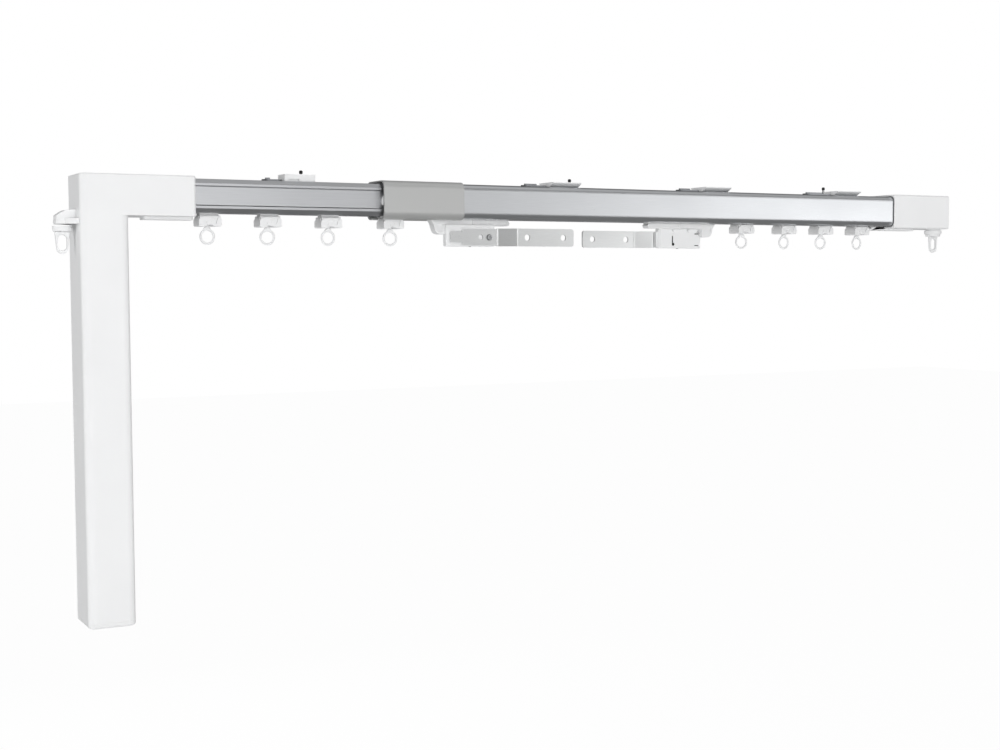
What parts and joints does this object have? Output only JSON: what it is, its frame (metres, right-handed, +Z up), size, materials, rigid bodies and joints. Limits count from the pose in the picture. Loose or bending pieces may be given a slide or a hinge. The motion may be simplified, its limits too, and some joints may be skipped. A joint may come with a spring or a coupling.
{
  "type": "electric curtain track",
  "caption": "Telescopic electric curtain track hung from the ceiling, with a motor column at one end, ring gliders and overlap arms for two curtains.",
  "frame": {"origin": "on the ceiling plane, at the centre of the second bracket's plate", "axes": "+X along the rails away from the motor, +Y away from the room, +Z up"},
  "size_m": [0.908, 0.047, 0.3592],
  "materials": {
    "anodised_aluminium": "satin anodised",
    "satin_aluminium": "satin anodised",
    "sleeve_grey": "satin",
    "white_plastic": "satin",
    "white_nylon": "satin",
    "wheel_nylon": "satin",
    "belt_rubber": "matte",
    "arm_steel": "zinc plated",
    "screw_steel": "zinc plated",
    "black_screw": "black oxide",
    "lever_steel": "plain",
    "motor_steel": "plain",
    "board_green": "satin",
    "black_plastic": "satin"
  },
  "bodies": {
    "track": {"outer_rail": "anodised_aluminium", "coupling_sleeve": "sleeve_grey", "sleeve_guide": "white_plastic", "end_cap": "white_plastic", "idler_plate": "white_plastic", "idler_axle": "arm_steel", "right_hook_collar": "white_plastic", "drive_belt": "belt_rubber", "outer_bracket_plates": "white_plastic", "second_bracket_screw": "black_screw"},
    "drive_head": {"inner_rail": "satin_aluminium", "drive_housing": "white_plastic", "bottom_cap": "white_plastic", "drive_plate": "white_plastic", "gearmotor": "motor_steel", "control_board": "board_green", "power_inlet": "black_plastic", "left_hook_arm": "white_plastic", "left_hook_collar": "white_plastic", "inner_bracket_plate": "white_plastic", "inner_bracket_screw": "black_screw"},
    "drive_wheel": {"drive_pulley": "white_plastic"},
    "idler_wheel": {"idler_pulley": "white_plastic"},
    "button": {"setting_button": "white_plastic"},
    "left_hook": {"left_hook_loop": "white_nylon"},
    "right_hook": {"right_hook_loop": "white_nylon"},
    "left_leader": {"left_carrier": "white_plastic", "left_belt_clamp": "white_plastic", "left_arm": "arm_steel", "left_arm_screws": "screw_steel"},
    "left_inner_wheelset": {"left_carrier_wheels_inner": "wheel_nylon"},
    "left_outer_wheelset": {"left_carrier_wheels_outer": "wheel_nylon"},
    "right_leader": {"right_carrier": "white_plastic", "right_belt_clamp": "white_plastic", "right_arm": "arm_steel", "right_arm_screws": "screw_steel"},
    "right_inner_wheelset": {"right_carrier_wheels_inner": "wheel_nylon"},
    "right_outer_wheelset": {"right_carrier_wheels_outer": "wheel_nylon"},
    "left_runner_1": {"left_glider_1": "white_nylon"},
    "left_eyelet_1": {"left_ring_1": "white_nylon"},
    "left_runner_2": {"left_glider_2": "white_nylon"},
    "left_eyelet_2": {"left_ring_2": "white_nylon"},
    "left_runner_3": {"left_glider_3": "white_nylon"},
    "left_eyelet_3": {"left_ring_3": "white_nylon"},
    "left_runner_4": {"left_glider_4": "white_nylon"},
    "left_eyelet_4": {"left_ring_4": "white_nylon"},
    "right_runner_1": {"right_glider_1": "white_nylon"},
    "right_eyelet_1": {"right_ring_1": "white_nylon"},
    "right_runner_2": {"right_glider_2": "white_nylon"},
    "right_eyelet_2": {"right_ring_2": "white_nylon"},
    "right_runner_3": {"right_glider_3": "white_nylon"},
    "right_eyelet_3": {"right_ring_3": "white_nylon"},
    "right_runner_4": {"right_glider_4": "white_nylon"},
    "right_eyelet_4": {"right_ring_4": "white_nylon"},
    "inner_lever": {"inner_cam_lever": "lever_steel"},
    "second_lever": {"second_cam_lever": "lever_steel"},
    "third_lever": {"third_cam_lever": "lever_steel"},
    "fourth_lever": {"fourth_cam_lever": "lever_steel", "fourth_lever_pin": "black_screw"}
  },
  "joints": [
    {"name": "rail_extension", "type": "slide", "parent": "track", "child": "drive_head", "axis": [-1, 0, 0], "range_m": [0, 0.3], "deforming": ["drive_belt"]},
    {"name": "left_curtain_travel", "type": "slide", "parent": "track", "child": "left_leader", "axis": [1, 0, 0], "range_m": [-0.096, 0.035]},
    {"name": "right_curtain_travel", "type": "slide", "parent": "track", "child": "right_leader", "axis": [1, 0, 0], "range_m": [-0.036, 0.097]},
    {"name": "left_inner_wheelset_roll", "type": "hinge", "parent": "left_leader", "child": "left_inner_wheelset", "pos_m": [-0.0647, 0, -0.0275], "axis": [0, 1, 0], "continuous": true},
    {"name": "left_outer_wheelset_roll", "type": "hinge", "parent": "left_leader", "child": "left_outer_wheelset", "pos_m": [-0.1167, 0, -0.0275], "axis": [0, 1, 0], "continuous": true},
    {"name": "right_inner_wheelset_roll", "type": "hinge", "parent": "right_leader", "child": "right_inner_wheelset", "pos_m": [0.1013, 0, -0.0275], "axis": [0, 1, 0], "continuous": true},
    {"name": "right_outer_wheelset_roll", "type": "hinge", "parent": "right_leader", "child": "right_outer_wheelset", "pos_m": [0.1533, 0, -0.0275], "axis": [0, 1, 0], "continuous": true},
    {"name": "drive_wheel_turn", "type": "hinge", "parent": "drive_head", "child": "drive_wheel", "pos_m": [-0.4152, 0, -0.01775], "axis": [0, 0, 1], "continuous": true},
    {"name": "idler_wheel_turn", "type": "hinge", "parent": "track", "child": "idler_wheel", "pos_m": [0.4178, 0, -0.01775], "axis": [0, 0, 1], "continuous": true},
    {"name": "left_runner_1_travel", "type": "slide", "parent": "track", "child": "left_runner_1", "axis": [1, 0, 0], "range_m": [-0.0015, 0.00086]},
    {"name": "left_eyelet_1_swivel", "type": "hinge", "parent": "left_runner_1", "child": "left_eyelet_1", "pos_m": [-0.3287, 0, -0.05234], "axis": [0, 0, 1], "continuous": true},
    {"name": "left_runner_2_travel", "type": "slide", "parent": "track", "child": "left_runner_2", "axis": [1, 0, 0], "range_m": [-0.01797, 0.00687]},
    {"name": "left_eyelet_2_swivel", "type": "hinge", "parent": "left_runner_2", "child": "left_eyelet_2", "pos_m": [-0.2782, 0, -0.05234], "axis": [0, 0, 1], "continuous": true},
    {"name": "left_runner_3_travel", "type": "slide", "parent": "track", "child": "left_runner_3", "axis": [1, 0, 0], "range_m": [-0.04399, 0.01636]},
    {"name": "left_eyelet_3_swivel", "type": "hinge", "parent": "left_runner_3", "child": "left_eyelet_3", "pos_m": [-0.2252, 0, -0.05234], "axis": [0, 0, 1], "continuous": true},
    {"name": "left_runner_4_travel", "type": "slide", "parent": "track", "child": "left_runner_4", "axis": [1, 0, 0], "range_m": [-0.07548, 0.02784]},
    {"name": "left_eyelet_4_swivel", "type": "hinge", "parent": "left_runner_4", "child": "left_eyelet_4", "pos_m": [-0.1687, 0, -0.05234], "axis": [0, 0, 1], "continuous": true},
    {"name": "right_runner_1_travel", "type": "slide", "parent": "track", "child": "right_runner_1", "axis": [1, 0, 0], "range_m": [-0.02973, 0.08066]},
    {"name": "right_eyelet_1_swivel", "type": "hinge", "parent": "right_runner_1", "child": "right_eyelet_1", "pos_m": [0.2031, 0, -0.05234], "axis": [0, 0, 1], "continuous": true},
    {"name": "right_runner_2_travel", "type": "slide", "parent": "track", "child": "right_runner_2", "axis": [1, 0, 0], "range_m": [-0.01884, 0.0508]},
    {"name": "right_eyelet_2_swivel", "type": "hinge", "parent": "right_runner_2", "child": "right_eyelet_2", "pos_m": [0.255, 0, -0.05234], "axis": [0, 0, 1], "continuous": true},
    {"name": "right_runner_3_travel", "type": "slide", "parent": "track", "child": "right_runner_3", "axis": [1, 0, 0], "range_m": [-0.01002, 0.02661]},
    {"name": "right_eyelet_3_swivel", "type": "hinge", "parent": "right_runner_3", "child": "right_eyelet_3", "pos_m": [0.3012, 0, -0.05234], "axis": [0, 0, 1], "continuous": true},
    {"name": "right_runner_4_travel", "type": "slide", "parent": "track", "child": "right_runner_4", "axis": [1, 0, 0], "range_m": [-0.00068, 0.00098]},
    {"name": "right_eyelet_4_swivel", "type": "hinge", "parent": "right_runner_4", "child": "right_eyelet_4", "pos_m": [0.3483, 0, -0.05234], "axis": [0, 0, 1], "continuous": true},
    {"name": "inner_lever_turn", "type": "hinge", "parent": "drive_head", "child": "inner_lever", "pos_m": [-0.2702, 0, -0.004], "axis": [0, 0, 1], "range_deg": [0, 90]},
    {"name": "second_lever_turn", "type": "hinge", "parent": "track", "child": "second_lever", "pos_m": [-0.0198, 0, -0.004], "axis": [0, 0, 1], "range_deg": [0, 90]},
    {"name": "third_lever_turn", "type": "hinge", "parent": "track", "child": "third_lever", "pos_m": [0.1475, 0, -0.004], "axis": [0, 0, 1], "range_deg": [0, 90]},
    {"name": "fourth_lever_turn", "type": "hinge", "parent": "track", "child": "fourth_lever", "pos_m": [0.308, 0, -0.004], "axis": [0, 0, 1], "range_deg": [0, 90]},
    {"name": "button_press", "type": "slide", "parent": "drive_head", "child": "button", "axis": [0, 0, 1], "range_m": [0, 0.0008], "stiffness_N_per_m": 600},
    {"name": "left_hook_swivel", "type": "hinge", "parent": "drive_head", "child": "left_hook", "pos_m": [-0.443, 0, -0.055], "axis": [0, 0, 1], "continuous": true},
    {"name": "right_hook_swivel", "type": "hinge", "parent": "track", "child": "right_hook", "pos_m": [0.4463, -0.006, -0.05], "axis": [0, 0, 1], "continuous": true}
  ],
  "couplings": [
    {"joint": "right_curtain_travel", "follows": "left_curtain_travel", "ratio": -1},
    {"joint": "left_inner_wheelset_roll", "follows": "left_curtain_travel", "rad_per_m": 250},
    {"joint": "left_outer_wheelset_roll", "follows": "left_curtain_travel", "rad_per_m": 250},
    {"joint": "right_inner_wheelset_roll", "follows": "left_curtain_travel", "rad_per_m": -250},
    {"joint": "right_outer_wheelset_roll", "follows": "left_curtain_travel", "rad_per_m": -250},
    {"joint": "drive_wheel_turn", "follows": "left_curtain_travel", "rad_per_m": 111.11},
    {"joint": "idler_wheel_turn", "follows": "left_curtain_travel", "rad_per_m": 111.11},
    {"joint": "left_runner_1_travel", "follows": "left_curtain_travel", "ratio": 0.0104},
    {"joint": "left_runner_2_travel", "follows": "left_curtain_travel", "ratio": 0.182},
    {"joint": "left_runner_3_travel", "follows": "left_curtain_travel", "ratio": 0.453},
    {"joint": "left_runner_4_travel", "follows": "left_curtain_travel", "ratio": 0.781},
    {"joint": "right_runner_1_travel", "follows": "left_curtain_travel", "ratio": -0.835},
    {"joint": "right_runner_2_travel", "follows": "left_curtain_travel", "ratio": -0.524},
    {"joint": "right_runner_3_travel", "follows": "left_curtain_travel", "ratio": -0.272},
    {"joint": "right_runner_4_travel", "follows": "left_curtain_travel", "ratio": -0.005}
  ]
}
